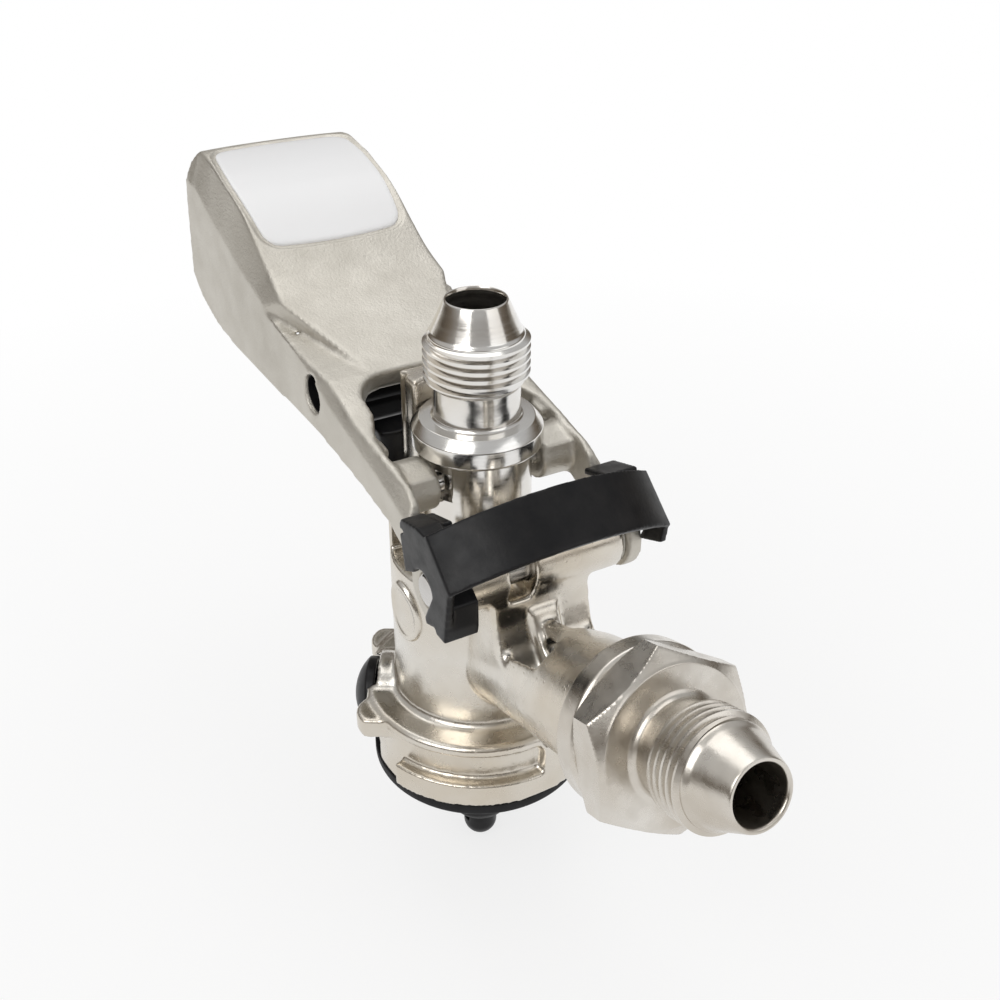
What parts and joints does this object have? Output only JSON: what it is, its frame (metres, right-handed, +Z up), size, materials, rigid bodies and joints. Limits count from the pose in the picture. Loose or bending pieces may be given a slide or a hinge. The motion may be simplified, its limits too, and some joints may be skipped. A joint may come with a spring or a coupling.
{
  "type": "keg coupler",
  "caption": "Lever-operated keg coupler with a sliding beer probe, a forked lever and an angled gas inlet.",
  "frame": {"origin": "probe axis, level with the underside of the base seal that meets the keg neck", "axes": "+Z up the probe towards the beer outlet; +X out along the gas inlet, which tilts up; the lever's grip lies towards -X and its hinge pin along Y"},
  "size_m": [0.2279, 0.0603, 0.1571],
  "materials": {
    "nickel_body": "semi-polished nickel over cast brass",
    "polished_steel": "polished",
    "satin_nickel": "matte cast nickel",
    "inlet_nickel": "satin nickel",
    "pin_steel": "ground",
    "black_rubber": "matte",
    "valve_rubber": "matte",
    "black_plastic": "satin",
    "white_label": "gloss",
    "bearing_plastic": "plain"
  },
  "bodies": {
    "body": {"housing": "nickel_body", "base_seal": "black_rubber", "gas_joint_washer": "black_rubber", "gas_adaptor": "inlet_nickel", "gas_check_valve": "valve_rubber", "gas_valve_sleeve": "bearing_plastic", "probe_seal_ring": "valve_rubber", "probe_wiper_ring": "valve_rubber", "hinge_bushes": "bearing_plastic"},
    "lever": {"lever": "satin_nickel", "label_plate": "white_label", "hinge_clip": "black_plastic", "hinge_pin": "pin_steel", "hinge_washers": "bearing_plastic", "drive_rollers": "pin_steel"},
    "probe": {"probe": "polished_steel", "probe_nose_seal": "black_rubber", "ball_cage": "black_plastic"},
    "ball": {"check_ball": "polished_steel"},
    "relief": {"relief_cap": "black_plastic", "relief_poppet": "valve_rubber"}
  },
  "joints": [
    {"name": "lever_hinge", "type": "hinge", "parent": "body", "child": "lever", "pos_m": [0.0225, 0, 0.0695], "axis": [0, -1, 0], "range_deg": [0, 37]},
    {"name": "probe_slide", "type": "slide", "parent": "body", "child": "probe", "axis": [0, 0, 1], "range_m": [-0.0149, 0]},
    {"name": "ball_lift", "type": "slide", "parent": "probe", "child": "ball", "axis": [0, 0, 1], "range_m": [0, 0.003]},
    {"name": "relief_press", "type": "slide", "parent": "body", "child": "relief", "axis": [0.5299, 0.848, 0], "range_m": [0, 0.001], "stiffness_N_per_m": 800, "springref_m": -0.001}
  ],
  "couplings": [
    {"joint": "probe_slide", "follows": "lever_hinge", "m_per_rad": -0.0229}
  ]
}
